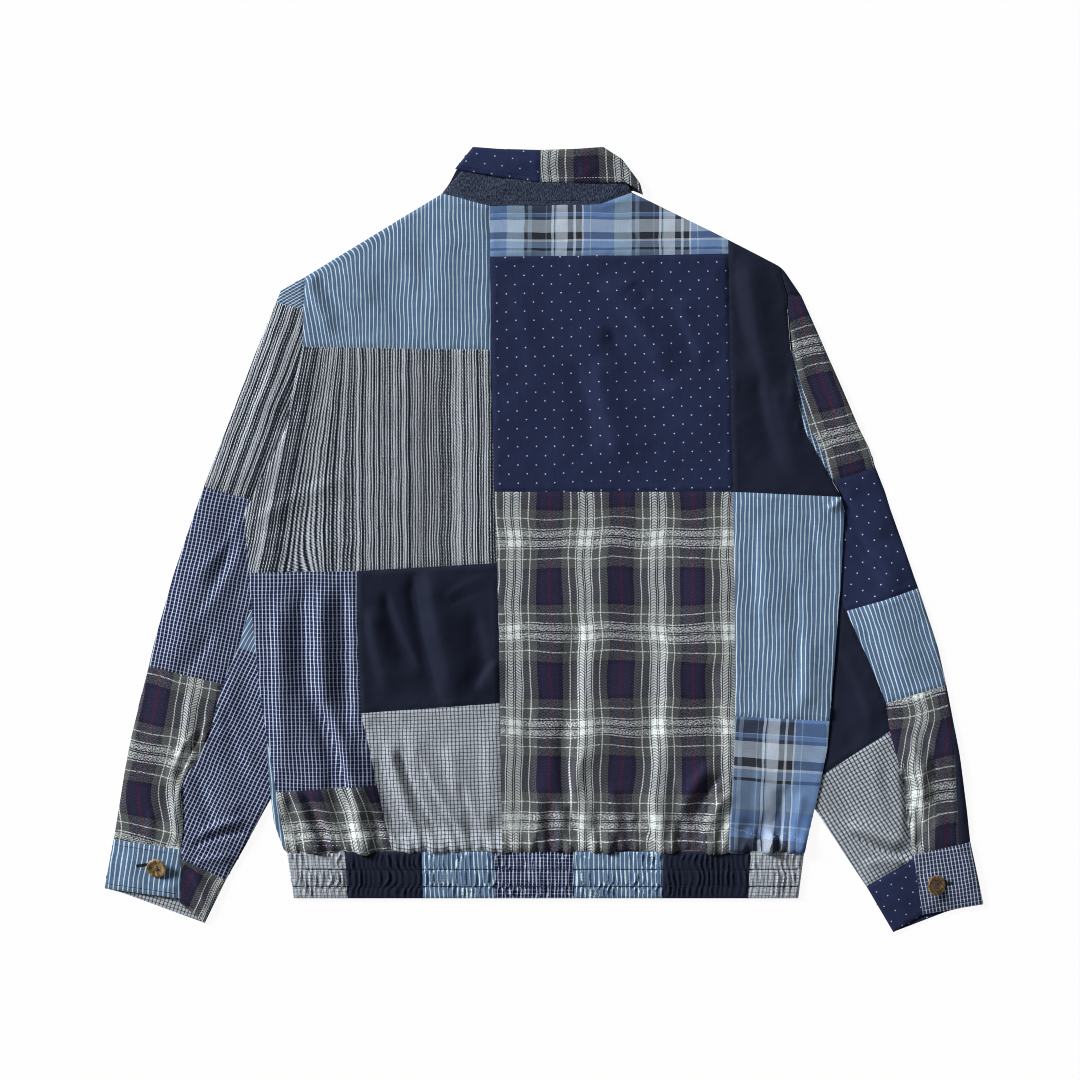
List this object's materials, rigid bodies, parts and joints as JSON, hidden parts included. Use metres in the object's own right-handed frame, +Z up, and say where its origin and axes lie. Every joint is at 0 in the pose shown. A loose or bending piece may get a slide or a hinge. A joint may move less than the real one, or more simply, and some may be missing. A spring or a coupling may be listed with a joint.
{
  "type": "patchwork blouson jacket lying flat",
  "caption": "Patchwork cotton jacket lying face down: collar, sleeves with buttoned cuffs and a gathered hem band.",
  "frame": {"origin": "centre of the jacket's outline, on the surface that it lies on", "axes": "+X across the jacket to the right sleeve as seen from above, +Y towards the collar, +Z up out of the back"},
  "size_m": [0.8776, 0.7836, 0.01],
  "materials": {
    "stripe": "soft cotton, steel blue with fine pale stripes",
    "slub": "slubby cotton, uneven ivory, grey and navy stripes",
    "check": "cotton, small navy and white check",
    "navy": "plain dark navy cotton",
    "minicheck": "cotton, fine light grey grid check",
    "flannel": "brushed cotton plaid, navy, ivory and olive grey",
    "madras": "cotton plaid in blues, charcoal and grey",
    "dot": "navy cotton with small pale dots",
    "denim": "marled dark denim",
    "horn": "mottled brown horn, semi-gloss"
  },
  "bodies": {
    "root": {"back_check": "check", "back_dot": "dot", "back_flannel": "flannel", "back_flannel_low": "flannel", "back_madras_side": "madras", "back_madras_yoke": "madras", "back_minicheck": "minicheck", "back_navy_low": "navy", "back_navy_shoulder": "navy", "back_slub": "slub", "back_stripe_shoulder": "stripe", "back_stripe_side": "stripe", "button_l": "horn", "button_r": "horn", "collar_front_left": "dot", "collar_front_right": "dot", "collar_inner": "navy", "collar_leaf_dot": "dot", "collar_leaf_flannel": "flannel", "collar_stand": "denim", "cuff_l_flannel": "flannel", "cuff_l_inner": "minicheck", "cuff_l_stripe": "stripe", "cuff_r_check": "check", "cuff_r_dot": "dot", "cuff_r_inner": "dot", "front_left": "navy", "front_right": "navy", "front_side_wrap": "stripe", "hem_1_minicheck": "minicheck", "hem_2_navy": "navy", "hem_3_stripe": "stripe", "hem_4_check": "check", "hem_5_stripe": "stripe", "hem_6_navy": "navy", "hem_7_minicheck": "minicheck", "hem_front_left": "navy", "hem_front_right": "navy", "sleeve_l_cap_check": "check", "sleeve_l_check": "check", "sleeve_l_flannel": "flannel", "sleeve_l_front": "stripe", "sleeve_l_gusset": "stripe", "sleeve_l_slub": "slub", "sleeve_l_under": "check", "sleeve_r_cap_navy": "navy", "sleeve_r_dot": "dot", "sleeve_r_edge_navy": "navy", "sleeve_r_flannel": "flannel", "sleeve_r_flannel_top": "flannel", "sleeve_r_front": "stripe", "sleeve_r_sliver": "check", "sleeve_r_stripe": "stripe", "sleeve_r_under": "minicheck", "sleeve_r_under_navy": "navy"}
  },
  "joints": []
}
